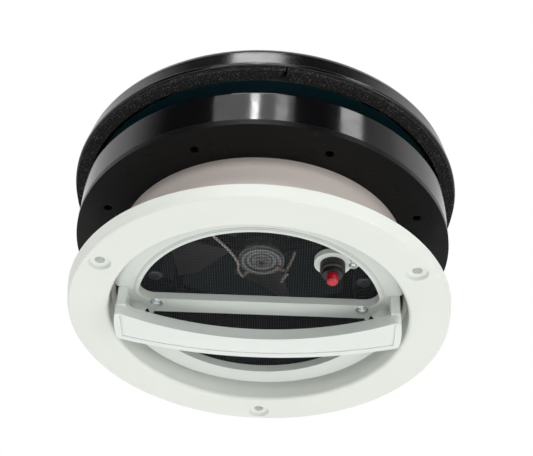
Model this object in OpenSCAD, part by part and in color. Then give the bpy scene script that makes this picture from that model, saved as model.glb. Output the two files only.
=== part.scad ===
// Round powered roof vent with a lift-up lid: roof flange above, ceiling trim below,
// and a sliding carriage that carries the lid, the fan, the insect screen and the pull handle.
// Millimetres, +Z up. The origin is the centre of the face that seats on the roof.

/* [Roof flange] */
// Radius of the roof plate
plate_r = 118.5; // [112:0.5:125]
// Thickness of the roof plate
plate_t = 4; // [3:0.5:6]
// Height of the upstand wall above the plate
upstand_h = 22.5; // [15:0.5:30]
// Radius of the circle through the roof screw holes
roof_hole_pitch_r = 103; // [99:0.5:106]
// Number of roof screw holes
roof_holes = 8; // [4:1:12]
// Radius of a roof screw hole
roof_hole_r = 2.7; // [2:0.1:3.5]

/* [Throat] */
// Outside radius of the throat tube
throat_r = 90.2; // [88:0.1:92]
// Wall thickness of the throat tube
throat_wall = 2; // [1.5:0.1:2.2]
// Distance from the roof seat down to the room face of the trim
face_drop = 53.5; // [45:0.5:60]

/* [Ceiling trim] */
// Outside radius of the trim's room face
trim_r = 117; // [112:0.5:120]
// Height of the trim below the ceiling
trim_h = 9; // [7:0.5:12]
// Radius of the recess that the carriage sits in
recess_r = 92; // [91.5:0.5:93]
// Radius of the circle through the trim screw holes
trim_hole_pitch_r = 107; // [104:0.5:108]
// Number of trim screw holes
trim_holes = 3; // [3:1:6]
// Radius of a trim screw hole
trim_hole_r = 3.1; // [2:0.1:3.5]

/* [Lid] */
// Radius of the lid's rim
lid_r = 124.5; // [122:0.5:128]
// Gap between the upstand and the lid's foam seal with the lid raised
lid_gap = 12.5; // [10:0.5:15]
// Height of the lid's side wall
lid_wall_h = 9; // [7:0.5:14]
// Width of the foam seal
foam_w = 8; // [6:0.5:9]
// Thickness of the foam seal
foam_t = 3; // [2:0.5:5]

/* [Carriage] */
// Outside radius of the screen frame
frame_r = 90; // [88:0.5:90]
// Thickness of the screen frame
frame_t = 5; // [4:0.5:5]
// Depth of the screen frame's face inside the trim
frame_depth = 10.5; // [8:0.5:10.5]
// Radius of the two openings in the screen frame
opening_r = 75; // [72:0.5:77]
// Width of the crossbar's face
crossbar_w = 9.8; // [9:0.1:12]
// Width of the ledge along the crossbar's far side
ledge_w = 5.5; // [3:0.5:7]
// Radius of the circle that the four lift posts stand on
post_pitch_r = 82; // [81.5:0.1:82.5]
// Radius of a lift post
post_r = 4; // [3:0.1:4]

/* [Handle] */
// Distance that the handle's face hangs below the trim's face
handle_drop = 9; // [6:0.5:12]
// Thickness of the handle's bar
handle_t = 7.5; // [5:0.5:9]
// Radius of the handle's rounded ends about the vent's axis
handle_end_r = 87.6; // [85:0.1:89]
// Radius of the bar's front edge, seen from below
handle_front_arc_r = 166; // [150:1:200]
// Radius of the bar's back edge, seen from below
handle_back_arc_r = 245; // [220:1:280]

/* [Fan] */
// Radius of the impeller
fan_r = 66; // [55:1:68]
// Number of impeller blades
blades = 5; // [3:1:7]
// Pitch of the impeller blades in degrees
blade_pitch = 32; // [20:1:40]
// Radius of the motor's can
motor_r = 14.75; // [13:0.05:14.75]
// Length of the motor's can
motor_l = 28; // [24:1:30]

/* [Switch] */
// Distance of the switch from the vent's axis
switch_pitch_r = 62; // [60:0.5:62]
// Radius of the switch's white bracket
switch_plate_r = 11; // [10:0.5:11]
// Radius of the red push button
button_r = 3.4; // [2.5:0.1:4]
// Length of button that stands out of its bush
button_out = 5.5; // [4:0.5:8]

/* [Hidden] */

$fn = 96;
eps = 0.01;        // overshoot of a cut past the face it opens
fit = 0.05;        // radial clearance of a close fit
over = 1;          // how far a joined piece runs into its neighbour, or a cutter past its end
web_inset = 0.3;   // how far a boss stands out past the web behind it, on each side

// Colours
white = [0.90, 0.91, 0.88];
warm_white = [0.86, 0.85, 0.81];
black = [0.06, 0.06, 0.06];
soft_black = [0.16, 0.16, 0.15];
teal_black = [0.03, 0.13, 0.14];
steel = [0.72, 0.73, 0.74];
brass = [0.78, 0.62, 0.30];
red = [0.72, 0.05, 0.10];
smoke = [0.22, 0.23, 0.26];
lead_white = [0.78, 0.76, 0.70];

// Levels, from the roof seat at 0
face_z = -face_drop;                        // room face of the trim
plate_top_z = plate_t;
upstand_top_z = plate_t + upstand_h;
foam_z = upstand_top_z + lid_gap;           // underside of the foam seal
rim_z = foam_z + foam_t;                    // underside of the lid's rim
frame_z = face_z + frame_depth;             // room face of the screen frame
screen_z = frame_z + frame_t;               // underside of the insect screen
screen_t = 0.6;
retainer_t = 1.4;
ring_z = screen_z + screen_t + retainer_t;  // underside of the carriage ring
ring_t = 5;
ring_top_z = ring_z + ring_t;
handle_z = face_z - handle_drop;            // underside of the handle

// Roof flange
collar_wall = 2.7;
collar_h = 15;
upstand_wall = 2.5;
upstand_r = plate_r - 0.5;
upstand_foot_w = 7;
upstand_lip_w = 9;
upstand_sheet = 1.8;
rib_h = 6;
rib_t = 2;
rib_in_r = throat_r + 2;
rib_out_r = upstand_r - upstand_foot_w - 0.3;
collar_chamfer = 1;
upstand_edge_r = 1.2;

// Throat and trim
throat_in_r = throat_r - throat_wall;
throat_top_z = plate_t + 12;
throat_low_z = face_z + 16;
trim_wall = 2.5;
trim_face_t = 3;
trim_flare = 1;                             // how much wider the trim is at the ceiling
trim_fillet = 2.2;
trim_corner = 0.5;
trim_collar_r = recess_r + 2;
trim_collar_top_z = face_z + 21;
cbore_r = 6.8;
cbore_depth = 2;
cbore_taper = 0.6;
trim_edge_r = 1.5;
trim_boss_wall = 1.7;
trim_boss_z = 1;
trim_ribs = 12;
trim_rib_t = 1.8;
trim_rib_low = trim_face_t - 0.5;
trim_rib_high = trim_h - 1;
throat_gap = 0.3;                           // between the tube's end and the trim's step

// Lid
rim_t = 3;
rim_edge_r = 0.8;
rim_in_r = lid_r - 12.5;
lid_wall_r = lid_r - 1.5;
lid_lean = 1.2;
lid_shoulder_r = 9;
lid_sheet = 2.5;
lid_shoulder_arc = 78;                      // degrees that the shoulder turns through
lid_crown_steps = 6;
lid_crown = 5;                              // rise of the crown inside the shoulder
liner_t = 2;
liner_r = rim_in_r - 0.5;
liner_lip_w = 2;
liner_lip_h = 3;
liner_hoop_r = 40;                          // round stiffener in the middle of the liner
liner_hoop_w = 2;
liner_hoop_h = 4;
liner_ribs = 8;
liner_rib_t = 1.8;
liner_rib_h = 3;
post_seat = 2;                              // how deep a lift post sits in the carriage ring
post_screw_r = 1.45;
post_screw_head_r = 3;
post_screw_head_h = 2.2;
post_screw_bite = 9;                        // how far a post screw reaches into its post
post_bore_depth = 12;
foam_cut_bend = 0.4;                        // where the foam's cut turns, as a share of its width
foam_out_r = lid_r - 1;
foam_cut_w = 0.4;                           // width of the foam's butt joint at its outer edge
foam_cut_taper = 11;                        // how far the foam's tapered end is cut back inside
foam_cut_angle = -84;

// Frame and its screws
screen_r = 84;
retainer_in_r = 76.5;
rim_bead_w = 3.2;
rim_bead_step = 0.9;                        // width of the bead's outer step
rim_bead_h = 0.9;
corner_r = 9;
frame_edge_r = 4.2;
ledge_depth = 1.4;
pocket_r = 14.5;                            // hollow beside each arm's foot
pocket_x = 83;
pocket_y = 11;
pocket_depth = 4.2;
frame_far_r = 87;                           // radius of the frame behind the handle's arms
frame_screw_x = 63.8;
frame_screw_r = 1.6;
frame_head_r = 3.3;
frame_cbore_r = 4;
frame_cbore_depth = 2.6;
frame_lug_r = 5;
frame_screw_head_h = 1.9;
frame_screw_l = 12;
spacer_inset = 1.5;                         // how much smaller a spacer is than its boss
screen_hole_gap = 0.4;                      // clearance of the screen's holes round the pieces in them
back_inset = 1.2;                           // how far the back opening sits inside the front one's circle
back_corner_r = 5;
ledge_inset = 9;                            // how far the ledge ends inside the opening's circle
ring_out_r = throat_in_r - 0.3;
ring_in_r = 77;

// Handle, seen from below
handle_front_y = 6.9;
handle_back_y = 27;
groove_y = 21.7;
groove_w = 1;
groove_depth = 0.6;
groove_arc_r = 250;
groove_x = 83.4;
handle_corner_r = 3;
arm_in_x = 80.3;
arm_front_y = -16.2;
arm_back_y = 6;
arm_root_r = 5;                             // hollow corner between an arm and the bar
arm_root_edge = 0.3;                        // thickness where that corner runs out
arm_inset = 0.4;                            // how far an arm sits inside the bar's rounded end
arm_overlap = 1;                            // how far an arm reaches into the bar
arm_root_in = 5;                            // how far the hollow corner starts behind the arm's front
handle_screw_x = 83.4;
handle_screw_ys = [-11, 1];
handle_screw_r = 1.25;
handle_screw_head_r = 2;
handle_screw_head_h = 1.5;
handle_screw_l = 10;
handle_cbore_r = 2.2;
handle_cbore_depth = 1.6;
groove_margin = 1.2;

// Motor, fan and bracket
motor_z = face_z + 48;
cap_t = 1.6;
cap_inner_h = 4;                            // how far the end cap plugs into the can
cap_inner_gap = 1.3;
cap_step_in_r = 10.4;
cap_step_inset = 1.6;
cap_step_h = 0.8;
can_wall = 1.2;
can_chamfer = 1.5;
can_plug_depth = 6;
can_boss_h = 1.5;
terminal_l = 6.5;
terminal_w = 3;
terminal_t = 0.6;
terminal_in = 1.4;                          // how far a terminal reaches inside the can's radius
terminal_angles = [32, 128];
terminal_z = motor_z - cap_t - terminal_t;
boss_r = 4.8;
boss_h = 3.6;
boss_z = motor_z - cap_t - boss_h + 1.4;
shaft_r = 1.5;
shaft_low_z = motor_z - 1;
shaft_out = 3;                              // how far the shaft stands out of the hub
bush_r = 2.6;
bush_z = boss_z + 0.4;
bush_h = boss_h + 3;
press = 0.02;                               // radial clearance of the hub and clip on the shaft
hub_r = 17.6;
hub_wall = 1.6;
hub_z = motor_z + 15;
hub_h = 23;
hub_floor = 3;
hub_edge = 2;
blade_room = 8;                             // how far the blades' cutter reaches past the hub
blade_root_in = 1.5;                        // how far a blade reaches into the hub's wall
blade_t = 1.6;
blade_camber_r = 62;
blade_sweep = 42;
blade_root_w = 15;
blade_tip_w = 43;
clip_t = 1;
clip_r = 4;
clip_slot_w = 1;
bracket_z = motor_z + 4;
bracket_h = 7;
bracket_ring_r = motor_r + 3.4;
leg_x = 63.6;
leg_y = -20;
leg_r = 4.8;
leg_screw_r = 1.5;
leg_screw_head_r = 4.4;
leg_screw_head_h = 1.2;
leg_screw_l = 15;
leg_bore_depth = 12;
arm_w = 5;
arm_rise = 1;                               // how far an arm's underside sits above the bracket's
arm_web_drop = 2;
arm_web_h = 4;

// Switch
switch_x = switch_pitch_r * cos(45);
switch_y = -switch_x;
switch_face_z = frame_z + 1.5;
switch_hole_r = 6;
switch_tab_dx = 12;
switch_tab_r = 3.5;
switch_screw_r = 1.2;
nut_r = 7.5;
nut_h = 6;
nut_chamfer = 0.8;
nut_flutes = 24;
nut_flute_r = 0.55;
nut_flute_out = 0.25;                       // how far a flute's centre lies outside the nut
nut_flute_margin = 1;
tab_screw_head_r = 2.3;
tab_screw_head_h = 1.5;
tab_screw_l = 9;
bush_out = 2.4;
switch_body_r = 7.4;
switch_body_h = 17;
button_shaft_l = 8;
button_chamfer = 1;
button_chamfer_w = 0.8;
button_travel_room = 5;                     // depth of bore left above the button's inner end
switch_terminal_dx = 2.2;
switch_terminal_t = 0.8;
switch_terminal_w = 3.2;
switch_terminal_l = 5;
switch_top_z = screen_z + switch_body_h;
bush_bottom_z = switch_face_z - nut_h - bush_out;

// Routes of the two motor leads, as points
lead_r = 0.9;
lead_a_route = [
    [-12, 15.5, -8.7], [-14.6, 8, -9.4], [-14.8, 0, -9.4], [-20, -12, -9.2], [-30, -27, -9.5],
    [-38, -42, -12], [-45, -55, -20], [-44, -62, -27], [-26, -70, -29], [0, -74, -29], [24, -70, -28],
    [33, -57, -22], [35.6, -46, -18], [38, -43.8, -17.5], [39.6, -43.8, -17.5], [41.2, -43.8, -17.5]
];
lead_b_route = [
    [17, 10.6, -8.7], [14.6, 13.7, -9.8], [13, 19, -9], [16, 18, -1], [20.4, 8, 4], [23, -1, 4.4],
    [39.6, -7.4, 4.4], [56.8, -12.6, 4.2], [66, -11, 0], [73, -9, -10], [78, -12, -22],
    [80, -20, -28.8], [76, -30, -28.8], [67, -40, -26], [56, -44.4, -18.4], [50, -43.8, -17.5],
    [48.2, -43.8, -17.5], [46.5, -43.8, -17.5]
];

// ---------------------------------------------------------------- helpers

// Places its children at n even steps round the axis, the first at angle start
module round_axis(n, start = 0) {
    for (i = [0 : n - 1]) {
        rotate([0, 0, start + i * 360 / n])
            children();
    }
}

module at(x, y, z) {
    translate([x, y, z])
        children();
}

// A ring from radius r_in to r_out, h high
module ring(r_in, r_out, h) {
    difference() {
        cylinder(r = r_out, h = h);
        at(0, 0, -eps)
            cylinder(r = r_in, h = h + 2 * eps);
    }
}

// Points along a round corner, for a revolved outline
function arc_points(cx, cy, r, from, to, steps) =
    [for (i = [0 : steps]) [cx + r * cos(from + (to - from) * i / steps),
                            cy + r * sin(from + (to - from) * i / steps)]];

// Cross recess of a Phillips screw, cut downwards from the top of a head
module cross_recess(size, depth) {
    for (a = [0, 90]) {
        rotate([0, 0, a])
            at(-size / 2, -size / 7, -depth)
                cube([size, size * 2 / 7, depth + eps]);
    }
}

// Pan-head screw: head above z = 0, shank below
module pan_screw(head_r, head_h, shank_r, shank_l) {
    difference() {
        union() {
            cylinder(r = head_r, h = head_h * 0.55);
            at(0, 0, head_h * 0.55 - eps)
                cylinder(r1 = head_r, r2 = head_r * 0.72, h = head_h * 0.45 + eps);
            at(0, 0, -shank_l)
                cylinder(r = shank_r, h = shank_l + eps);
        }
        at(0, 0, head_h)
            cross_recess(head_r * 1.1, head_h * 0.6);
    }
}

// Points of a smooth curve through the route's points
function curve_point(p0, p1, p2, p3, t) =
    0.5 * ((2 * p1) + (p2 - p0) * t + (2 * p0 - 5 * p1 + 4 * p2 - p3) * t * t
           + (3 * p1 - p0 - 3 * p2 + p3) * t * t * t);
function clamp_index(i, n) = max(0, min(n - 1, i));
function curve(p, steps) = let (n = len(p)) concat(
    [for (i = [0 : n - 2]) for (k = [0 : steps - 1])
        curve_point(p[clamp_index(i - 1, n)], p[i], p[i + 1], p[clamp_index(i + 2, n)], k / steps)],
    [p[n - 1]]);
function unit(v) = v / norm(v);

// Round tube swept along the curve through a route's points
module swept_tube(route, r, sides = 8, steps = 4) {
    path = curve(route, steps);
    n = len(path);
    skew = [0.31, 0.22, 0.93];
    rings = [for (i = [0 : n - 1])
        let (t = unit(path[min(i + 1, n - 1)] - path[max(i - 1, 0)]),
             u = unit(cross(t, skew)),
             v = cross(t, u))
        for (k = [0 : sides - 1])
            path[i] + r * (cos(360 * k / sides) * u + sin(360 * k / sides) * v)];
    walls = [for (i = [0 : n - 2]) for (k = [0 : sides - 1])
        let (a = i * sides + k, b = i * sides + (k + 1) % sides)
        [a, b, b + sides, a + sides]];
    low_end = [[for (k = [sides - 1 : -1 : 0]) k]];
    high_end = [[for (k = [0 : sides - 1]) (n - 1) * sides + k]];
    polyhedron(points = rings, faces = concat(walls, low_end, high_end));
}

// ---------------------------------------------------------------- fixed parts

// Plate that seats on the roof, with the collar that the throat tube pushes into
module roof_plate() {
    color(black)
    difference() {
        union() {
            ring(throat_r + fit, plate_r, plate_t);
            at(0, 0, plate_t - eps)
                ring(throat_r + fit, throat_r + fit + collar_wall, collar_h);
            round_axis(roof_holes)
                at(rib_in_r, -rib_t / 2, plate_t - eps)
                    cube([rib_out_r - rib_in_r, rib_t, rib_h]);
        }
        round_axis(roof_holes, 180 / roof_holes)
            at(roof_hole_pitch_r, 0, -eps)
                cylinder(r = roof_hole_r, h = plate_t + 2 * eps);
        at(0, 0, plate_t + collar_h - collar_chamfer)
            cylinder(r1 = throat_r + fit, r2 = throat_r + fit + collar_chamfer, h = collar_chamfer + eps);
    }
}

// Wall that stands on the plate and keeps water out, with an inward lip that the seal lands on
module upstand_ring() {
    color(black)
    at(0, 0, plate_top_z)
    rotate_extrude($fn = 128)
    polygon(concat(
        [[upstand_r - upstand_foot_w, 0], [upstand_r, 0]],
        arc_points(upstand_r - upstand_edge_r, upstand_h - upstand_edge_r, upstand_edge_r, 0, 90, 4),
        [[upstand_r - upstand_lip_w, upstand_h],
         [upstand_r - upstand_lip_w, upstand_h - upstand_sheet],
         [upstand_r - upstand_wall, upstand_h - upstand_sheet],
         [upstand_r - upstand_wall, upstand_sheet],
         [upstand_r - upstand_foot_w, upstand_sheet]]));
}

module throat_tube() {
    color(warm_white)
    at(0, 0, throat_low_z)
        ring(throat_in_r, throat_r, throat_top_z - throat_low_z);
}

// Outline of the trim's section, from the axis outwards, with z = 0 on the room face
module trim_section() {
    step_z = throat_low_z - face_z - throat_gap;
    top_z = trim_collar_top_z - face_z;
    polygon(concat(
        arc_points(recess_r + trim_fillet, trim_fillet, trim_fillet, 180, 270, 6),
        arc_points(trim_r - trim_edge_r, trim_edge_r, trim_edge_r, 270, 355, 4),
        [[trim_r + trim_flare, trim_h],
         [trim_r + trim_flare - trim_wall, trim_h],
         [trim_r - trim_wall, trim_face_t],
         [trim_collar_r + trim_corner, trim_face_t],
         [trim_collar_r, trim_face_t + 2 * trim_corner],
         [trim_collar_r, top_z],
         [throat_r + fit, top_z],
         [throat_r + fit, step_z],
         [recess_r, step_z]]));
}

module trim_ring() {
    color(white)
    at(0, 0, face_z)
    difference() {
        union() {
            rotate_extrude($fn = 128)
                trim_section();
            round_axis(trim_holes, 90)
                at(trim_hole_pitch_r, 0, trim_boss_z)
                    cylinder(r = cbore_r + trim_boss_wall, h = trim_h - trim_boss_z);
            round_axis(trim_ribs, 15)
                at(trim_collar_r - trim_corner, -trim_rib_t / 2, trim_rib_low)
                    cube([trim_r - trim_edge_r - trim_collar_r, trim_rib_t, trim_rib_high - trim_rib_low]);
        }
        round_axis(trim_holes, 90) {
            at(trim_hole_pitch_r, 0, -eps)
                cylinder(r = trim_hole_r, h = trim_h + 2 * eps);
            at(trim_hole_pitch_r, 0, -eps)
                cylinder(r1 = cbore_r, r2 = cbore_r - cbore_taper, h = cbore_depth);
        }
    }
}

// ---------------------------------------------------------------- lid

// Outline of the lid's outer skin, inset by d, as far as the axis
function lid_skin(d) = let (
    wall_top = rim_t + lid_wall_h,
    top_r = lid_wall_r - lid_lean,
    crown_r = top_r - lid_shoulder_r)
    concat(
        [[0, 0], [lid_wall_r - d, 0], [lid_wall_r - d, rim_t]],
        arc_points(crown_r, wall_top, lid_shoulder_r - d, 0, lid_shoulder_arc, 7),
        [for (i = [1 : lid_crown_steps]) let (q = 1 - i / lid_crown_steps)
            [crown_r * q, wall_top + lid_shoulder_r - d + lid_crown * (1 - q * q)]]);

module lid_dome() {
    color(black)
    at(0, 0, rim_z)
    difference() {
        union() {
            rotate_extrude($fn = 128)
                polygon(lid_skin(0));
            rotate_extrude($fn = 128)
                polygon(concat(
                    [[lid_wall_r - over, 0]],
                    arc_points(lid_r - rim_edge_r, rim_edge_r, rim_edge_r, 270, 360, 3),
                    arc_points(lid_r - rim_edge_r, rim_t - rim_edge_r, rim_edge_r, 0, 90, 3),
                    [[lid_wall_r - over, rim_t]]));
        }
        at(0, 0, -eps)
            cylinder(r = rim_in_r, h = rim_t + over);
        difference() {
            rotate_extrude($fn = 128)
                polygon(lid_skin(lid_sheet));
            at(0, 0, -eps)
                cylinder(r = lid_r, h = rim_t + eps);
        }
    }
}

// Dark pan that closes the lid's underside, with stiffening ribs above; the post screws pass through it
module lid_liner() {
    color(teal_black)
    difference() {
        union() {
            at(0, 0, rim_z)
                cylinder(r = liner_r, h = liner_t);
            at(0, 0, rim_z + liner_t - eps)
                ring(liner_r - liner_lip_w, liner_r, liner_lip_h);
            at(0, 0, rim_z + liner_t - eps)
                ring(liner_hoop_r - liner_hoop_w, liner_hoop_r, liner_hoop_h);
            round_axis(liner_ribs, 180 / liner_ribs)
                at(liner_hoop_r - over, -liner_rib_t / 2, rim_z + liner_t - eps)
                    cube([liner_r - liner_hoop_r, liner_rib_t, liner_rib_h]);
        }
        round_axis(4, 45)
            at(post_pitch_r, 0, rim_z - eps)
                cylinder(r = post_screw_r + 3 * fit, h = liner_t + 2 * eps);
    }
}

module foam_seal() {
    color(soft_black)
    at(0, 0, foam_z)
    difference() {
        ring(foam_out_r - foam_w, foam_out_r, foam_t);
        rotate([0, 0, foam_cut_angle])
            at(foam_out_r - foam_w, 0, -eps)
                linear_extrude(foam_t + 2 * eps)
                    polygon([[-over, foam_cut_w], [foam_w + over, foam_cut_w], [foam_w + over, 0],
                             [foam_w * foam_cut_bend, -foam_cut_taper / 3], [-over, -foam_cut_taper]]);
    }
}

// ---------------------------------------------------------------- carriage

module lift_post(i) {
    color(black)
    rotate([0, 0, 45 + 90 * i])
        at(post_pitch_r, 0, 0)
            difference() {
                at(0, 0, ring_top_z - post_seat)
                    cylinder(r = post_r, h = rim_z - ring_top_z + post_seat);
                at(0, 0, rim_z - post_bore_depth)
                    cylinder(r = post_screw_r + fit, h = post_bore_depth + eps);
            }
}

module post_screws() {
    color(steel)
    round_axis(4, 45)
        at(post_pitch_r, 0, rim_z + liner_t)
            pan_screw(post_screw_head_r, post_screw_head_h, post_screw_r, liner_t + post_screw_bite);
}

// Outline of a boss that reaches in from the carriage ring, for a screw that comes up from below
module lug_outline(x, y, r) {
    reach = norm([x, y]);
    translate([x, y])
        circle(r = r);
    rotate(atan2(y, x))
        translate([reach, -r + web_inset])
            square([ring_in_r + 2 * over - reach, 2 * (r - web_inset)]);
}

module ring_outline() {
    difference() {
        circle(r = ring_out_r);
        circle(r = ring_in_r);
    }
    for (side = [-1, 1]) {
        lug_outline(side * frame_screw_x, 0, frame_lug_r);
        lug_outline(side * leg_x, leg_y, leg_r);
    }
    lug_outline(switch_x + switch_tab_dx, switch_y, switch_tab_r);
}

// Short spacer under the ring that lands on the frame or the switch bracket
module ring_spacer(x, y, r) {
    at(x, y, screen_z + screen_t)
        cylinder(r = r, h = retainer_t + over);
}

// Ring that the frame, the posts, the motor bracket and the switch all fix to
module carriage_ring() {
    color(black)
    difference() {
        union() {
            at(0, 0, ring_z)
                linear_extrude(ring_t)
                    ring_outline();
            ring_spacer(frame_screw_x, 0, frame_lug_r - spacer_inset);
            ring_spacer(-frame_screw_x, 0, frame_lug_r - spacer_inset);
            ring_spacer(switch_x + switch_tab_dx, switch_y, switch_tab_r - spacer_inset);
        }
        round_axis(4, 45)
            at(post_pitch_r, 0, ring_top_z - post_seat)
                cylinder(r = post_r + fit, h = post_seat + over);
        for (side = [-1, 1]) {
            at(side * frame_screw_x, 0, screen_z)
                cylinder(r = frame_screw_r + fit, h = frame_screw_l);
            at(side * leg_x, leg_y, ring_z - over)
                cylinder(r = leg_screw_r + fit, h = ring_t + 2 * over);
        }
        at(switch_x + switch_tab_dx, switch_y, screen_z)
            cylinder(r = switch_screw_r + fit, h = frame_screw_l);
    }
}

module screen_retainer() {
    color(black)
    at(0, 0, screen_z + screen_t)
        ring(retainer_in_r, screen_r, retainer_t);
}

// Plain disc in place of the woven screen, with the holes that the screws and the switch need
module insect_screen() {
    color(soft_black)
    at(0, 0, screen_z)
    difference() {
        cylinder(r = screen_r, h = screen_t);
        for (side = [-1, 1]) {
            at(side * frame_screw_x, 0, -eps)
                cylinder(r = frame_screw_r + screen_hole_gap, h = screen_t + 2 * eps);
        }
        at(switch_x, switch_y, -eps)
            cylinder(r = switch_body_r + screen_hole_gap, h = screen_t + 2 * eps);
        at(switch_x + switch_tab_dx, switch_y, -eps)
            cylinder(r = switch_screw_r + screen_hole_gap, h = screen_t + 2 * eps);
    }
}

// The half-moon openings in front of and behind the crossbar, grown by g
module front_opening(g = 0) {
    offset(r = corner_r + g, $fn = 48)
        offset(delta = -corner_r)
            intersection() {
                circle(r = opening_r, $fn = 96);
                translate([-opening_r, -opening_r])
                    square([2 * opening_r, opening_r - crossbar_w / 2]);
            }
}

module back_opening() {
    offset(r = back_corner_r, $fn = 48)
        offset(delta = -back_corner_r)
            intersection() {
                circle(r = opening_r - back_inset, $fn = 96);
                translate([-opening_r, crossbar_w / 2 + ledge_w])
                    square([2 * opening_r, opening_r]);
            }
}

// Raised band w wide and h proud round the front opening, as far as the crossbar
module rim_bead(w, h) {
    at(0, 0, -h)
        linear_extrude(h + over / 2)
            intersection() {
                front_opening(w);
                translate([-frame_r, -frame_r])
                    square([2 * frame_r, frame_r - crossbar_w / 2]);
            }
}

// White inner frame: rim, crossbar, raised bead round the front opening
module screen_frame() {
    color(white)
    at(0, 0, frame_z)
    difference() {
        union() {
            difference() {
                rotate_extrude($fn = 128)
                    polygon(concat(
                        [[0, 0]],
                        arc_points(frame_r - frame_edge_r, frame_edge_r, frame_edge_r, 270, 345, 6),
                        [[frame_r, frame_t], [0, frame_t]]));
                at(-opening_r + ledge_inset, crossbar_w / 2, -eps)
                    cube([2 * (opening_r - ledge_inset), ledge_w + over, ledge_depth + eps]);
                for (side = [-1, 1]) {
                    intersection() {
                        at(side * pocket_x, pocket_y, -eps)
                            cylinder(r = pocket_r, h = pocket_depth);
                        at(-arm_in_x, -frame_r, -eps)
                            cube([2 * arm_in_x, 2 * frame_r, pocket_depth]);
                    }
                }
            }
            rim_bead(rim_bead_w, rim_bead_h / 2);
            rim_bead(rim_bead_w - rim_bead_step, rim_bead_h);
        }
        intersection() {
            at(0, 0, -over)
                ring(frame_far_r, frame_r + over, frame_t + 2 * over);
            at(-frame_r - 2 * over, arm_front_y, -over)
                cube([2 * frame_r + 4 * over, 2 * frame_r, frame_t + 2 * over]);
        }
        at(0, 0, -eps - rim_bead_h)
            linear_extrude(frame_t + rim_bead_h + 2 * eps)
                front_opening();
        at(0, 0, -eps)
            linear_extrude(frame_t + 2 * eps)
                back_opening();
        for (side = [-1, 1]) {
            at(side * frame_screw_x, 0, -eps)
                cylinder(r = frame_cbore_r, h = frame_cbore_depth);
            at(side * frame_screw_x, 0, -eps)
                cylinder(r = frame_screw_r + fit, h = frame_t + 2 * eps);
            for (y = handle_screw_ys) {
                at(side * handle_screw_x, y, -eps)
                    cylinder(r = handle_screw_r + fit, h = frame_t + 2 * eps);
                at(side * handle_screw_x, y, frame_t - handle_cbore_depth)
                    cylinder(r = handle_cbore_r, h = handle_cbore_depth + eps);
            }
        }
    }
}

module frame_screws() {
    color(steel)
    for (side = [-1, 1]) {
        at(side * frame_screw_x, 0, frame_z + frame_cbore_depth - eps)
            rotate([180, 0, 0])
                pan_screw(frame_head_r, frame_screw_head_h, frame_screw_r, frame_screw_l);
    }
}

// Outline of the handle's bar, seen from below
module handle_outline() {
    offset(r = handle_corner_r, $fn = 32)
        offset(delta = -handle_corner_r)
            difference() {
                intersection() {
                    circle(r = handle_end_r, $fn = 160);
                    translate([0, handle_back_y - handle_back_arc_r])
                        circle(r = handle_back_arc_r, $fn = 300);
                    translate([-frame_r, arm_front_y])
                        square([2 * frame_r, frame_r]);
                }
                translate([0, handle_front_y - handle_front_arc_r])
                    circle(r = handle_front_arc_r, $fn = 240);
            }
}

// Groove just inside the bar's back edge and ends
module handle_groove() {
    intersection() {
        difference() {
            intersection() {
                translate([0, groove_y + groove_w - groove_arc_r])
                    circle(r = groove_arc_r, $fn = 200);
                square([2 * groove_x, frame_r], center = true);
            }
            intersection() {
                translate([0, groove_y - groove_arc_r])
                    circle(r = groove_arc_r - eps, $fn = 200);
                square([2 * groove_x - 2 * groove_w, frame_r], center = true);
            }
        }
        offset(delta = -groove_margin)
            handle_outline();
    }
}

// Bowed bar on two short arms
module pull_handle() {
    color(white)
    difference() {
        union() {
            at(0, 0, handle_z)
                linear_extrude(handle_t)
                    handle_outline();
            for (side = [-1, 1]) {
                handle_arm(side);
            }
        }
        at(0, 0, handle_z - eps)
            linear_extrude(groove_depth)
                handle_groove();
        for (side = [-1, 1], y = handle_screw_ys) {
            at(side * handle_screw_x, y, frame_z - handle_screw_l + over)
                cylinder(r = handle_screw_r + fit, h = handle_screw_l);
        }
    }
}

// One arm, from the bar up to the frame, with a hollow round corner where it leaves the bar
module handle_arm(side) {
    arm_z = handle_z + handle_t - arm_overlap;
    arm_h = frame_z - arm_z;
    root_x = arm_in_x - arm_root_r - arm_root_edge;
    intersection() {
        at(0, 0, arm_z)
            cylinder(r = handle_end_r - arm_inset, h = arm_h);
        at(side > 0 ? arm_in_x : -frame_r, arm_front_y, arm_z)
            cube([frame_r - arm_in_x, arm_back_y - arm_front_y, arm_h]);
    }
    difference() {
        at(side > 0 ? arm_in_x - arm_root_r : -arm_in_x - over, arm_front_y + arm_root_in, arm_z)
            cube([arm_root_r + over, arm_back_y - arm_front_y - arm_root_in, arm_root_r + arm_overlap]);
        at(side * root_x, arm_front_y, arm_z + arm_overlap + arm_root_r + arm_root_edge)
            rotate([-90, 0, 0])
                cylinder(r = arm_root_r, h = arm_back_y - arm_front_y + over);
    }
}

module handle_screws() {
    color(steel)
    for (side = [-1, 1], y = handle_screw_ys) {
        at(side * handle_screw_x, y, screen_z - handle_cbore_depth)
            pan_screw(handle_screw_head_r, handle_screw_head_h, handle_screw_r, handle_screw_l);
    }
}

// ---------------------------------------------------------------- motor and fan

// Bridge that holds the motor below the impeller, on two legs
module motor_bracket() {
    leg_h = bracket_z + bracket_h - ring_top_z;
    color(black)
    difference() {
        union() {
            at(0, 0, bracket_z)
                cylinder(r = bracket_ring_r, h = bracket_h);
            for (side = [-1, 1]) {
                at(side * leg_x, leg_y, ring_top_z)
                    cylinder(r = leg_r, h = leg_h);
                bracket_arm(side);
            }
        }
        at(0, 0, bracket_z - eps)
            cylinder(r = motor_r + fit, h = bracket_h + 2 * eps);
        for (side = [-1, 1]) {
            at(side * leg_x, leg_y, ring_top_z - eps)
                cylinder(r = leg_screw_r + fit, h = leg_bore_depth);
        }
    }
}

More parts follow.
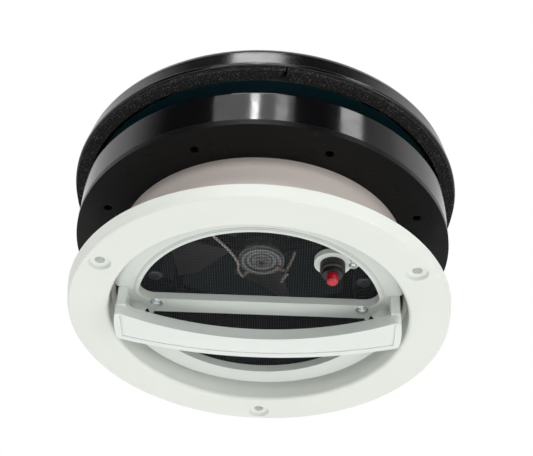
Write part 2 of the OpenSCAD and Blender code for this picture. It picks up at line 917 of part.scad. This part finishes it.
module bracket_arm(side) {
    reach = norm([leg_x, leg_y]);
    angle = side > 0 ? atan2(leg_y, leg_x) : 180 - atan2(leg_y, leg_x);
    rotate([0, 0, angle]) {
        at(motor_r + over, -arm_w / 2, bracket_z + arm_rise)
            cube([reach - motor_r - over, arm_w, bracket_h - arm_rise]);
        at(motor_r + over, -arm_w / 6, bracket_z - arm_web_drop)
            cube([reach - motor_r - over - leg_r / 2, arm_w / 3, arm_web_h]);
    }
}

module bracket_screws() {
    color(steel)
    for (side = [-1, 1]) {
        at(side * leg_x, leg_y, ring_z)
            rotate([180, 0, 0])
                pan_screw(leg_screw_head_r, leg_screw_head_h, leg_screw_r, leg_screw_l);
    }
}

module motor_can() {
    color(steel)
    difference() {
        union() {
            at(0, 0, motor_z)
                cylinder(r = motor_r, h = motor_l - can_chamfer);
            at(0, 0, motor_z + motor_l - can_chamfer - eps)
                cylinder(r1 = motor_r, r2 = motor_r - can_chamfer, h = can_chamfer + eps);
            at(0, 0, motor_z + motor_l - eps)
                cylinder(r = boss_r, h = can_boss_h);
        }
        at(0, 0, motor_z - eps)
            cylinder(r = motor_r - can_wall, h = can_plug_depth);
        at(0, 0, motor_z)
            cylinder(r = shaft_r + fit, h = motor_l + 2 * can_boss_h);
    }
}

// End cap that faces the room, with a stepped ring and a bearing boss
module motor_end_cap() {
    color(warm_white)
    difference() {
        union() {
            at(0, 0, motor_z - cap_t)
                cylinder(r = motor_r, h = cap_t);
            at(0, 0, motor_z - eps)
                cylinder(r = motor_r - cap_inner_gap, h = cap_inner_h);
            at(0, 0, motor_z - cap_t - cap_step_h)
                ring(cap_step_in_r, motor_r - cap_step_inset, cap_step_h + eps);
            at(0, 0, boss_z)
                cylinder(r = boss_r, h = boss_h);
        }
        at(0, 0, motor_z - cap_t - boss_h)
            cylinder(r = bush_r + fit, h = boss_h + cap_t + cap_inner_h + over);
    }
}

module motor_bush() {
    color(brass)
    at(0, 0, bush_z)
        ring(shaft_r + fit, bush_r, bush_h);
}

// Two tabs that the leads are soldered to
module motor_terminals() {
    color(brass)
    for (angle = terminal_angles) {
        rotate([0, 0, angle])
            at(motor_r - terminal_in, -terminal_w / 2, terminal_z)
                cube([terminal_l, terminal_w, terminal_t]);
    }
}

module motor_lead_a() {
    color(lead_white)
    swept_tube(lead_a_route, lead_r);
}

module motor_lead_b() {
    color(lead_white)
    swept_tube(lead_b_route, lead_r);
}

module motor_shaft() {
    color(steel)
    at(0, 0, shaft_low_z)
        cylinder(r = shaft_r, h = hub_z + hub_h + shaft_out - shaft_low_z);
}

// Cambered blade along +X, cut to its outline
module fan_blade() {
    intersection() {
        at(0, 0, hub_z + hub_h / 2)
            rotate([blade_pitch, 0, 0])
                at(hub_r - blade_root_in, 0, -blade_camber_r)
                    rotate([90, 0, 90])
                        rotate([0, 0, 90 - blade_sweep / 2])
                            rotate_extrude(angle = blade_sweep)
                                translate([blade_camber_r, 0])
                                    square([blade_t, fan_r]);
        at(0, 0, hub_z - blade_room)
            linear_extrude(hub_h + 2 * blade_room)
                intersection() {
                    polygon([[hub_r - over, -blade_root_w / 2], [fan_r + over, -blade_tip_w / 2],
                             [fan_r + over, blade_tip_w / 2], [hub_r - over, blade_root_w / 2]]);
                    circle(r = fan_r);
                }
    }
}

module impeller() {
    color(smoke)
    difference() {
        union() {
            at(0, 0, hub_z)
                cylinder(r = hub_r, h = hub_h - hub_edge);
            at(0, 0, hub_z + hub_h - hub_edge - eps)
                cylinder(r1 = hub_r, r2 = hub_r - hub_edge, h = hub_edge);
            round_axis(blades, 18)
                fan_blade();
        }
        at(0, 0, hub_z - blade_room)
            cylinder(r = hub_r - hub_wall, h = hub_h - hub_floor + blade_room);
        at(0, 0, hub_z)
            cylinder(r = shaft_r + press, h = hub_h + eps);
    }
}

module hub_clip() {
    color(steel)
    at(0, 0, hub_z + hub_h)
    difference() {
        ring(shaft_r + press, clip_r, clip_t);
        at(0, -clip_slot_w / 2, -eps)
            cube([clip_r + over, clip_slot_w, clip_t + 2 * eps]);
    }
}

// ---------------------------------------------------------------- switch

// White disc with a tab, which carries the switch in the front opening
module switch_bracket() {
    color(white)
    at(switch_x, switch_y, switch_face_z)
    difference() {
        union() {
            cylinder(r = switch_plate_r, h = screen_z - switch_face_z);
            at(0, -switch_tab_r + web_inset, 0)
                cube([switch_tab_dx, 2 * (switch_tab_r - web_inset), screen_z - switch_face_z]);
            at(switch_tab_dx, 0, 0)
                cylinder(r = switch_tab_r, h = screen_z - switch_face_z);
        }
        at(0, 0, -eps)
            cylinder(r = switch_hole_r + fit, h = screen_z - switch_face_z + 2 * eps);
        at(switch_tab_dx, 0, -eps)
            cylinder(r = switch_screw_r + fit, h = screen_z - switch_face_z + 2 * eps);
    }
}

module switch_bracket_screw() {
    color(steel)
    at(switch_x + switch_tab_dx, switch_y, switch_face_z)
        rotate([180, 0, 0])
            pan_screw(tab_screw_head_r, tab_screw_head_h, switch_screw_r, tab_screw_l);
}

module switch_body() {
    color(black)
    at(switch_x, switch_y, 0)
    difference() {
        union() {
            at(0, 0, screen_z)
                cylinder(r = switch_body_r, h = switch_body_h);
            at(0, 0, bush_bottom_z)
                cylinder(r = switch_hole_r, h = screen_z - bush_bottom_z + eps);
        }
        at(0, 0, bush_bottom_z - eps)
            cylinder(r = button_r + fit, h = button_shaft_l + button_travel_room);
    }
}

module switch_nut() {
    color(black)
    at(switch_x, switch_y, switch_face_z - nut_h)
    difference() {
        union() {
            at(0, 0, nut_chamfer)
                cylinder(r = nut_r, h = nut_h - nut_chamfer);
            cylinder(r1 = nut_r - nut_chamfer, r2 = nut_r, h = nut_chamfer + eps);
        }
        at(0, 0, -eps)
            cylinder(r = switch_hole_r + fit, h = nut_h + 2 * eps);
        round_axis(nut_flutes)
            at(nut_r + nut_flute_out, 0, nut_flute_margin)
                cylinder(r = nut_flute_r, h = nut_h - 2 * nut_flute_margin, $fn = 16);
    }
}

module switch_terminals() {
    color(brass)
    for (dx = [-switch_terminal_dx, switch_terminal_dx]) {
        at(switch_x + dx - switch_terminal_t / 2, switch_y - switch_terminal_w / 2, switch_top_z)
            cube([switch_terminal_t, switch_terminal_w, switch_terminal_l]);
    }
}

module push_button() {
    color(red)
    at(switch_x, switch_y, bush_bottom_z - button_out) {
        at(0, 0, button_chamfer)
            cylinder(r = button_r, h = button_out + button_shaft_l - button_chamfer);
        cylinder(r1 = button_r - button_chamfer_w, r2 = button_r, h = button_chamfer + eps);
    }
}

// ---------------------------------------------------------------- output

roof_plate();
upstand_ring();
throat_tube();
trim_ring();
lid_dome();
lid_liner();
foam_seal();
post_screws();
lift_post(0);  // lift_post_1
lift_post(1);  // lift_post_2
lift_post(2);  // lift_post_3
lift_post(3);  // lift_post_4
carriage_ring();
screen_retainer();
insect_screen();
screen_frame();
frame_screws();
pull_handle();
handle_screws();
motor_bracket();
bracket_screws();
motor_can();
motor_end_cap();
motor_bush();
motor_terminals();
motor_lead_a();
motor_lead_b();
motor_shaft();
impeller();
hub_clip();
switch_bracket();
switch_bracket_screw();
switch_body();
switch_nut();
switch_terminals();
push_button();
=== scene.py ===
"""Looks for the round powered roof vent: materials, a woven screen, a paint mark, lights and a camera.

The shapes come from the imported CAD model. This script gives each CAD node its material, puts a woven mesh in
place of the plain screen disc, and adds the red paint mark on the motor's end cap.
"""

import math

import bpy
from mathutils import Matrix, Vector


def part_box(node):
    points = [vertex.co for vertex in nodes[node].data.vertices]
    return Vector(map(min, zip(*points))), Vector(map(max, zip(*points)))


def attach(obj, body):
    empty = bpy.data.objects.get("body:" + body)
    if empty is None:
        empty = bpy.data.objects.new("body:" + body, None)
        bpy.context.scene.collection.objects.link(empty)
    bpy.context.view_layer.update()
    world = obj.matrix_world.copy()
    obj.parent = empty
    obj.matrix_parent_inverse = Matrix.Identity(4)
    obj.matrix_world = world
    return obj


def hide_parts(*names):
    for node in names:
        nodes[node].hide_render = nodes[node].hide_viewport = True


MM = 0.001

# Brightness of the surround behind the vent, in front of it and on its right
BACK_LEVEL = 1.0
FRONT_LEVEL = 0.02
RIGHT_LEVEL = 0.7
# Where it changes over, as the direction's Y and X from -1 to 1
BACK_FADE = (-0.35, 0.15)
RIGHT_FADE = (0.4, 0.85)

# The screen's wires, and the holes round what passes through it
WIRE_PITCH = 1.5 * MM
WIRE_R = 0.14 * MM
WIRE_SIDES = 5
SHORTEST_WIRE = 4 * WIRE_R
SCREW_HEAD_R = 3.3 * MM
SCREW_HOLE_R = 2.2 * MM
SWITCH_HOLE_R = 7.8 * MM
TAB_HOLE_R = 1.8 * MM

# The paint mark on the motor's end cap
MARK_ANGLE = math.radians(20)
MARK_PLACE_R = 12.0 * MM
MARK_R = 1.1 * MM
MARK_H = 0.35 * MM
MARK_LIFT = 0.2 * MM   # how far its back lies below the terminals' underside

# The throat tube: from its outside to the middle of its wall, where the painted shade inside begins, and how
# far its colour drifts
TUBE_WALL_MIDDLE = 1 * MM
TUBE_DRIFT = 0.015

# A Mix node's sockets by number, as some share a name: the factor, two numbers and their result, then
# two colours and theirs
FACTOR = 0
NUMBER_A, NUMBER_B, NUMBER_OUT = 2, 3, 0
COLOUR_A, COLOUR_B, COLOUR_OUT = 6, 7, 2

# The floor is a square about the vent's axis, seen only from above
FLOOR_HALF, FLOOR_Z = 6.0, -1.7

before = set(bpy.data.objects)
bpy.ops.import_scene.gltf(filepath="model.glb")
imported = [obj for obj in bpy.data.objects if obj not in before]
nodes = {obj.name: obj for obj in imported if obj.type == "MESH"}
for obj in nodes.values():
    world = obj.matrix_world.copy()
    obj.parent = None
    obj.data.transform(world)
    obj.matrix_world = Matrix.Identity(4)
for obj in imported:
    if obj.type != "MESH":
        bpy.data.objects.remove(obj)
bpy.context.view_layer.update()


# ---------------------------------------------------------------- materials

def srgb(r, g, b):
    """A colour, 0 to 255, as the linear values a shader wants."""
    def linear(c):
        c /= 255
        return c / 12.92 if c <= 0.04045 else ((c + 0.055) / 1.055) ** 2.4
    return (linear(r), linear(g), linear(b), 1.0)


class Shader:
    """A Principled material with its node tree, built up one feature at a time."""

    def __init__(self, name, colour, roughness, specular=0.5, metallic=0.0):
        self.material = bpy.data.materials.new(name)
        self.material.use_nodes = True
        self.tree = self.material.node_tree
        self.bsdf = self.tree.nodes["Principled BSDF"]
        self.bsdf.inputs["Base Color"].default_value = colour
        self.bsdf.inputs["Roughness"].default_value = roughness
        self.bsdf.inputs["Metallic"].default_value = metallic
        self.bsdf.inputs["Specular IOR Level"].default_value = specular
        self.colour = colour
        self.coord = self.add("ShaderNodeTexCoord").outputs["Object"]
        self.normal = None

    def add(self, kind, **settings):
        node = self.tree.nodes.new(kind)
        for key, value in settings.items():
            setattr(node, key, value)
        return node

    def link(self, a, b):
        self.tree.links.new(a, b)

    def noise(self, scale, detail=3.0, stretch=(1, 1, 1)):
        mapping = self.add("ShaderNodeMapping")
        mapping.inputs["Scale"].default_value = stretch
        self.link(self.coord, mapping.inputs["Vector"])
        noise = self.add("ShaderNodeTexNoise")
        noise.inputs["Scale"].default_value = scale
        noise.inputs["Detail"].default_value = detail
        self.link(mapping.outputs["Vector"], noise.inputs["Vector"])
        return noise.outputs["Fac"]

    def spread(self, value, low, high):
        """Maps the middle of a noise value onto low to high."""
        remap = self.add("ShaderNodeMapRange")
        for name, number in (("From Min", 0.3), ("From Max", 0.7), ("To Min", low), ("To Max", high)):
            remap.inputs[name].default_value = number
        self.link(value, remap.inputs["Value"])
        return remap.outputs["Result"]

    def mixed(self, factor, low, high):
        """Mixes two colours, each a fixed one or another node's output, by a factor from 0 to 1."""
        mix = self.add("ShaderNodeMix", data_type="RGBA")
        for socket, colour in ((COLOUR_A, low), (COLOUR_B, high)):
            if isinstance(colour, tuple):
                mix.inputs[socket].default_value = colour
            else:
                self.link(colour, mix.inputs[socket])
        self.link(factor, mix.inputs[FACTOR])
        return mix.outputs[COLOUR_OUT]

    def paint(self, colour):
        self.link(colour, self.bsdf.inputs["Base Color"])
        return self

    def mottle(self, scale, amount, stretch=(1, 1, 1)):
        """Lets the colour drift a little, lighter and darker."""
        light = tuple(min(1, c * (1 + amount)) for c in self.colour[:3]) + (1,)
        dark = tuple(c * (1 - amount) for c in self.colour[:3]) + (1,)
        return self.paint(self.mixed(self.spread(self.noise(scale, stretch=stretch), 0, 1), dark, light))

    def rough(self, scale, low, high, stretch=(1, 1, 1)):
        """Lets the polish drift between two roughness values."""
        self.link(self.spread(self.noise(scale, 4, stretch), low, high), self.bsdf.inputs["Roughness"])
        return self

    def edges(self, radius):
        """Rounds the look of sharp edges."""
        bevel = self.add("ShaderNodeBevel", samples=4)
        bevel.inputs["Radius"].default_value = radius
        self.normal = bevel.outputs["Normal"]
        self.link(self.normal, self.bsdf.inputs["Normal"])
        return self

    def bump(self, value, strength, distance):
        bump = self.add("ShaderNodeBump")
        bump.inputs["Strength"].default_value = strength
        bump.inputs["Distance"].default_value = distance
        self.link(value, bump.inputs["Height"])
        if self.normal is not None:
            self.link(self.normal, bump.inputs["Normal"])
        self.normal = bump.outputs["Normal"]
        self.link(self.normal, self.bsdf.inputs["Normal"])
        return self

    def grain(self, scale, strength, distance=0.0001, stretch=(1, 1, 1)):
        """A fine moulded or brushed texture."""
        return self.bump(self.noise(scale, 2, stretch), strength, distance)


def white_plastic(name, colour, grain=0.06):
    return (Shader(name, colour, 0.34, specular=0.4)
            .mottle(18, 0.015).rough(60, 0.28, 0.42).edges(0.0004).grain(1400, grain).material)


def black_plastic(name, colour, low, high, specular=0.5, grain=0.2, edge=0.0003):
    return (Shader(name, colour, low, specular)
            .mottle(35, 0.12).rough(80, low, high).edges(edge).grain(1600, grain).material)


def gloss_black(name, colour):
    """Glossy moulded plastic whose skin is a little wavy, so that reflections break into blotches."""
    shader = Shader(name, colour, 0.12, specular=0.42).mottle(35, 0.12).rough(80, 0.08, 0.15).edges(0.0008)
    return shader.bump(shader.noise(90, 2), 0.12, 0.0003).grain(1600, 0.04).material


def metal(name, colour, low, high, stretch=(1, 1, 1)):
    return (Shader(name, colour, low, metallic=1.0)
            .mottle(250, 0.06, stretch=stretch).rough(300, low, high, stretch)
            .edges(0.00015).grain(2500, 0.12, 0.00005, stretch).material)


def ringed_plastic(name, dark, light, pitch):
    """Moulded plastic with fine steps in rings round the vent's axis; the colour darkens in the steps, painted
    shade.
    """
    shader = Shader(name, light, 0.4, specular=0.4).rough(200, 0.34, 0.48).edges(0.0002)
    rings = shader.add("ShaderNodeTexWave", wave_type="RINGS", rings_direction="Z")
    rings.inputs["Scale"].default_value = math.pi / (10 * pitch)   # a wave texture turns 20 radians a unit
    rings.inputs["Distortion"].default_value = 0.4
    shader.link(shader.coord, rings.inputs["Vector"])
    # The dark colour follows the ring wave: painted shade in the steps between the rings
    shader.paint(shader.mixed(rings.outputs["Fac"], dark, light))
    return shader.bump(rings.outputs["Fac"], 0.5, 0.0004).grain(1400, 0.05).material


def tube_plastic(name, outside, inside, wall_middle_r):
    """Pale plastic outside and near-black inside, told apart by the distance from the vent's axis: the
    near-black inside is painted shade for the tube's dim interior.
    """
    shader = Shader(name, outside, 0.34, specular=0.4).rough(60, 0.28, 0.42).edges(0.0004).grain(1400, 0.06)
    flat = shader.add("ShaderNodeVectorMath", operation="MULTIPLY")
    flat.inputs[1].default_value = (1, 1, 0)
    shader.link(shader.coord, flat.inputs[0])
    radius = shader.add("ShaderNodeVectorMath", operation="LENGTH")
    shader.link(flat.outputs["Vector"], radius.inputs[0])
    # Nearer the axis than the middle of the wall the tube takes the near-black colour, painted shade for its
    # dim inside
    painted_shade_mask = shader.add("ShaderNodeMath", operation="LESS_THAN")
    painted_shade_mask.inputs[1].default_value = wall_middle_r
    shader.link(radius.outputs["Value"], painted_shade_mask.inputs[0])
    shade = tuple(c * (1 - TUBE_DRIFT) for c in outside[:3]) + (1,)
    pale = shader.mixed(shader.spread(shader.noise(18), 0, 1), shade, outside)
    return shader.paint(shader.mixed(painted_shade_mask.outputs["Value"], pale, inside)).material


def foam():
    """Black open-cell foam: pits, with pale specks where cell walls catch the light."""
    shader = Shader("foam", srgb(38, 37, 38), 0.9, specular=0.2)
    specks = shader.add("ShaderNodeTexVoronoi")
    specks.inputs["Scale"].default_value = 900
    shader.link(shader.coord, specks.inputs["Vector"])
    ramp = shader.add("ShaderNodeValToRGB")
    ramp.color_ramp.elements[0].position = 0.10
    ramp.color_ramp.elements[0].color = srgb(128, 124, 122)
    ramp.color_ramp.elements[1].position = 0.34
    ramp.color_ramp.elements[1].color = srgb(26, 25, 26)
    shader.link(specks.outputs["Distance"], ramp.inputs["Fac"])
    patches = shader.spread(shader.noise(420), 0, 1)
    shader.paint(shader.mixed(patches, srgb(30, 29, 30), ramp.outputs["Color"]))
    shader.bump(specks.outputs["Distance"], 0.7, 0.0005)
    return shader.material


def twisted_lead():
    """Pale insulation with a faint twist running round it."""
    shader = Shader("lead_insulation", srgb(214, 208, 196), 0.45, specular=0.4)
    shader.mottle(900, 0.10, stretch=(1, 1, 3))
    wave = shader.add("ShaderNodeTexWave", bands_direction="DIAGONAL")
    wave.inputs["Scale"].default_value = 160
    shader.link(shader.coord, wave.inputs["Vector"])
    shader.bump(wave.outputs["Fac"], 0.5, 0.0003)
    return shader.material


white = white_plastic("white_trim", srgb(223, 227, 221))
white_frame = white_plastic("white_frame", srgb(209, 214, 210))
white_handle = white_plastic("white_handle", srgb(223, 228, 225), 0.04)
tube_wall_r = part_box("throat_tube")[1].x - TUBE_WALL_MIDDLE
# The second colour is painted shade for the tube's dim inside
tube_white = tube_plastic("warm_white_tube", srgb(207, 197, 191), srgb(24, 25, 28), tube_wall_r)
# The darker colour is painted shade in the cap's ring steps
cap_white = ringed_plastic("motor_cap_white", srgb(112, 115, 118), srgb(190, 191, 190), 0.0034)
black_flange = black_plastic("black_flange", srgb(11, 11, 12), 0.26, 0.36, 0.14, 0.1, 0.0008)
black_wall = gloss_black("black_wall", srgb(9, 8, 10))
black_lid = black_plastic("black_lid", srgb(9, 9, 11), 0.14, 0.22, 0.5, 0.05, 0.0006)
black_inner = black_plastic("black_inner", srgb(16, 16, 17), 0.45, 0.6, 0.25)
teal_liner = black_plastic("teal_liner", srgb(4, 38, 45), 0.45, 0.55, 0.1)
smoke = black_plastic("smoke_impeller", srgb(82, 80, 83), 0.30, 0.42, 0.5)
black_switch = black_plastic("black_switch", srgb(17, 17, 18), 0.34, 0.46, 0.5)
mesh_black = black_plastic("screen_wire", srgb(31, 34, 39), 0.35, 0.5, 0.6, 0.1)
steel = metal("zinc_steel", srgb(206, 207, 206), 0.26, 0.40)
can_steel = metal("motor_can_steel", srgb(190, 191, 194), 0.24, 0.38, (1, 1, 12))
dull_steel = metal("dull_steel", srgb(104, 105, 108), 0.42, 0.55)
bright_steel = metal("chromed_steel", srgb(236, 239, 244), 0.14, 0.24)
brass = metal("tinned_brass", srgb(150, 144, 128), 0.38, 0.52)
red = (Shader("red_button", srgb(176, 6, 30), 0.22, specular=0.6)
       .mottle(300, 0.06).rough(400, 0.18, 0.3).edges(0.0003).grain(1200, 0.04).material)
foam_black = foam()
lead = twisted_lead()

NODE_MATERIALS = {
    "roof_plate": black_flange, "upstand_ring": black_wall, "throat_tube": tube_white, "trim_ring": white,
    "lid_dome": black_lid, "lid_liner": teal_liner, "foam_seal": foam_black, "post_screws": steel,
    "lift_post_1": black_inner, "lift_post_2": black_inner, "lift_post_3": black_inner,
    "lift_post_4": black_inner, "carriage_ring": black_inner, "screen_retainer": black_inner,
    "insect_screen": mesh_black, "screen_frame": white_frame, "frame_screws": bright_steel,
    "pull_handle": white_handle, "handle_screws": steel, "motor_bracket": black_inner,
    "bracket_screws": dull_steel, "motor_can": can_steel, "motor_end_cap": cap_white, "motor_bush": brass,
    "motor_terminals": brass, "motor_lead_a": lead, "motor_lead_b": lead, "motor_shaft": steel,
    "impeller": smoke, "hub_clip": steel, "switch_bracket": white_frame, "switch_bracket_screw": steel,
    "switch_body": black_switch, "switch_nut": black_switch, "switch_terminals": brass, "push_button": red,
}
for name, material in NODE_MATERIALS.items():
    data = nodes[name].data
    data.materials.clear()
    data.materials.append(material)


# ---------------------------------------------------------------- woven screen

def box_centre(node):
    low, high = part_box(node)
    return (low + high) / 2


def add_piece(name, verts, faces, material, body):
    """A new smooth mesh that rides a body of the frame and takes the material it is given."""
    data = bpy.data.meshes.new(name)
    data.from_pydata(verts, [], faces)
    data.update()
    for polygon in data.polygons:
        polygon.use_smooth = True
    data.materials.append(material)
    obj = bpy.data.objects.new(name, data)
    bpy.context.scene.collection.objects.link(obj)
    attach(obj, body)
    return obj


def free_runs(offset, reach, holes):
    """Where a wire at this offset runs inside the screen and outside its holes, as (start, end) pairs."""
    half = math.sqrt(max(0, reach ** 2 - offset ** 2))
    runs = [(-half, half)]
    for along, across, radius in holes:
        gap = abs(offset - across)
        if gap >= radius:
            continue
        cut = math.sqrt(radius ** 2 - gap ** 2)
        split = []
        for start, end in runs:
            split.append((start, min(end, along - cut)))
            split.append((max(start, along + cut), end))
        runs = [(a, b) for a, b in split if b - a > SHORTEST_WIRE]
    return runs


def add_wire(verts, faces, start, end, index, middle, along_x):
    """One wire of the weave, which passes over and under the wires that it crosses in turn."""
    offset = index * WIRE_PITCH
    first, last = math.ceil(start / WIRE_PITCH), math.floor(end / WIRE_PITCH)
    over = 1 if along_x else -1
    stations = [(start, 0)]
    stations += [(k * WIRE_PITCH, over if (index + k) % 2 == 0 else -over) for k in range(first, last + 1)]
    stations.append((end, 0))
    base = len(verts)
    for t, side in stations:
        for k in range(WIRE_SIDES):
            a = 2 * math.pi * k / WIRE_SIDES
            across = offset + WIRE_R * math.cos(a)
            up = middle + WIRE_R * (side + math.sin(a))
            verts.append((t, across, up) if along_x else (across, t, up))
    for ring in range(len(stations) - 1):
        low = base + ring * WIRE_SIDES
        for k in range(WIRE_SIDES):
            n = (k + 1) % WIRE_SIDES
            quad = (low + k, low + n, low + WIRE_SIDES + n, low + WIRE_SIDES + k)
            faces.append(tuple(reversed(quad)) if along_x else quad)
    low_end = tuple(base + k for k in range(WIRE_SIDES))
    high_end = tuple(len(verts) - WIRE_SIDES + k for k in reversed(range(WIRE_SIDES)))
    faces.append(low_end if along_x else tuple(reversed(low_end)))
    faces.append(high_end if along_x else tuple(reversed(high_end)))


def woven_screen():
    """A plain weave in place of the screen's disc, with holes round the screws, the switch and its tab."""
    low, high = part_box("insect_screen")
    reach = (high.x - low.x) / 2
    middle = (low.z + high.z) / 2
    screw = box_centre("frame_screws")
    switch = box_centre("switch_body")
    tab = box_centre("switch_bracket_screw")
    frame_screw_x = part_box("frame_screws")[1].x - SCREW_HEAD_R
    holes = [(frame_screw_x, screw.y, SCREW_HOLE_R), (-frame_screw_x, screw.y, SCREW_HOLE_R),
             (switch.x, switch.y, SWITCH_HOLE_R), (tab.x, tab.y, TAB_HOLE_R)]
    turned = [(y, x, r) for x, y, r in holes]
    verts, faces = [], []
    count = int(reach / WIRE_PITCH)
    for i in range(-count, count + 1):
        offset = i * WIRE_PITCH
        for start, end in free_runs(offset, reach, holes):
            add_wire(verts, faces, start, end, i, middle, True)
        for start, end in free_runs(offset, reach, turned):
            add_wire(verts, faces, start, end, i, middle, False)
    screen = add_piece("insect_screen_weave", verts, faces, mesh_black, "carriage")
    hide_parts("insect_screen")


woven_screen()


# ---------------------------------------------------------------- small details

def paint_dot(name, centre, radius, height, material, body, sides=32, rings=5):
    """A drop of paint: a flat back on centre, a crowned face that bulges downwards, and a soft rim."""
    verts, faces = [], []
    for ring in range(rings):
        lean = math.radians(90 * ring / rings)
        r, drop = radius * math.cos(lean), height * math.sin(lean)
        for k in range(sides):
            a = 2 * math.pi * k / sides
            verts.append((centre[0] + r * math.cos(a), centre[1] + r * math.sin(a), centre[2] - drop))
    verts.append((centre[0], centre[1], centre[2] - height))
    tip, last = len(verts) - 1, (rings - 1) * sides
    for k in range(sides):
        n = (k + 1) % sides
        for ring in range(rings - 1):
            low, high = ring * sides, (ring + 1) * sides
            faces.append((low + k, high + k, high + n, low + n))
        faces.append((last + k, tip, last + n))
    faces.append(tuple(range(sides)))
    return add_piece(name, verts, faces, material, body)


cap_face_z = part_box("motor_terminals")[0].z - MARK_LIFT
paint_dot("polarity_mark",
          (MARK_PLACE_R * math.cos(MARK_ANGLE), MARK_PLACE_R * math.sin(MARK_ANGLE), cap_face_z),
          MARK_R, MARK_H, red, "carriage")


# ---------------------------------------------------------------- stage, lights and camera

def make_floor():
    half = FLOOR_HALF
    corners = [(-half, -half, FLOOR_Z), (half, -half, FLOOR_Z), (half, half, FLOOR_Z), (-half, half, FLOOR_Z)]
    data = bpy.data.meshes.new("floor")
    data.from_pydata(corners, [], [(0, 1, 2, 3)])
    floor = bpy.data.objects.new("floor", data)
    bpy.context.scene.collection.objects.link(floor)
    shader = Shader("floor_paper", srgb(232, 232, 230), 0.8, specular=0.2).mottle(3, 0.01)
    data.materials.append(shader.material)


def area_light(name, width, height, power):
    light = bpy.data.lights.new(name, "AREA")
    light.shape = "RECTANGLE"
    light.size, light.size_y = width, height
    light.energy = power
    obj = bpy.data.objects.new(name, light)
    bpy.context.scene.collection.objects.link(obj)
    return obj


def soft_light(name, azimuth, elevation, distance, width, height, power, mirrored=True):
    """An area light aimed at the vent. Azimuth 0 is on the camera's side and grows towards the right.

    A light that isn't mirrored brightens surfaces but doesn't show in their gloss.
    """
    a, e = math.radians(azimuth), math.radians(elevation)
    back = Vector((math.sin(a) * math.cos(e), -math.cos(a) * math.cos(e), math.sin(e)))
    obj = area_light(name, width, height, power)
    obj.location = back * distance
    obj.rotation_mode = "QUATERNION"
    obj.rotation_quaternion = back.to_track_quat("Z", "Y")
    obj.visible_glossy = mirrored


def floor_light(name, height, width, power):
    """A wide square light below the vent that shines straight down on the floor, unseen by the camera."""
    obj = area_light(name, width, width, power)
    obj.location = (0, 0, height)
    obj.visible_camera = False


def make_world():
    """White to the camera. To everything else it is bright behind and on the right, and dim in front."""
    world = bpy.data.worlds.new("studio")
    bpy.context.scene.world = world
    world.use_nodes = True
    tree = world.node_tree
    background = tree.nodes["Background"]
    direction = tree.nodes.new("ShaderNodeTexCoord")
    parts = tree.nodes.new("ShaderNodeSeparateXYZ")
    tree.links.new(direction.outputs["Generated"], parts.inputs["Vector"])
    behind = world_ramp(tree, parts.outputs["Y"], *BACK_FADE, 0.0, BACK_LEVEL - FRONT_LEVEL)
    side = world_ramp(tree, parts.outputs["X"], *RIGHT_FADE, FRONT_LEVEL, RIGHT_LEVEL)
    level = tree.nodes.new("ShaderNodeMath")
    level.operation = "MAXIMUM"
    tree.links.new(behind, level.inputs[0])
    tree.links.new(side, level.inputs[1])
    seen = tree.nodes.new("ShaderNodeLightPath")
    mix = tree.nodes.new("ShaderNodeMix")
    mix.inputs[NUMBER_B].default_value = 1.0
    tree.links.new(seen.outputs["Is Camera Ray"], mix.inputs[FACTOR])
    tree.links.new(level.outputs[0], mix.inputs[NUMBER_A])
    tree.links.new(mix.outputs[NUMBER_OUT], background.inputs["Strength"])
    background.inputs["Color"].default_value = (1.0, 1.0, 1.0, 1.0)


def world_ramp(tree, value, start, end, low, high):
    ramp = tree.nodes.new("ShaderNodeMapRange")
    ramp.interpolation_type = "SMOOTHSTEP"
    for name, number in (("From Min", start), ("From Max", end), ("To Min", low), ("To Max", high)):
        ramp.inputs[name].default_value = number
    tree.links.new(value, ramp.inputs["Value"])
    return ramp.outputs["Result"]


def make_camera():
    """The camera stands in front and below, looking up, rolled a little to the right."""
    turn = math.radians(2.0)
    pan, tilt, roll = math.radians(0.18), math.radians(38.85), math.radians(3.1)
    place = Vector((0, -0.661, -0.5125))
    forward = Vector((math.sin(pan) * math.cos(tilt), math.cos(pan) * math.cos(tilt), math.sin(tilt)))
    right = Vector((math.cos(pan), -math.sin(pan), 0))
    up = right.cross(forward)
    across = math.cos(roll) * right + math.sin(roll) * up
    upward = -math.sin(roll) * right + math.cos(roll) * up
    axes = Matrix((across, upward, -forward)).transposed().to_4x4()
    camera = bpy.data.cameras.new("camera")
    camera.sensor_width = 36
    camera.lens = 88.28
    camera.clip_start, camera.clip_end = 0.05, 50
    obj = bpy.data.objects.new("camera", camera)
    obj.matrix_world = Matrix.Rotation(turn, 4, "Z") @ Matrix.Translation(place) @ axes
    bpy.context.scene.collection.objects.link(obj)
    bpy.context.scene.camera = obj


make_floor()
make_world()
make_camera()
# Each lamp's name, azimuth, elevation, distance, width, height and power. The narrow ones make the glints.
soft_light("front_soft", -8, 42.3, 2.2, 1.4, 0.35, 3)
soft_light("front_fill", -10, 30, 2.2, 1.6, 0.3, 10)
soft_light("front_spot", -7, 42.4, 2.2, 0.12, 0.05, 1.1)
soft_light("front_patch", 9, 42.2, 2.2, 0.2, 0.12, 0.4)
soft_light("right_patch", 53, 42, 2.2, 0.4, 0.2, 1.6)
soft_light("lid_spot", -9, 60, 2.2, 0.7, 0.5, 9)
soft_light("front_wide", 0, 8, 2.6, 2.6, 0.5, 26, mirrored=False)
soft_light("right_low", 60, -25, 2.2, 1.0, 1.0, 8)
floor_light("floor_soft", -0.9, 5.0, 54)
bpy.context.scene.view_settings.view_transform = "Standard"
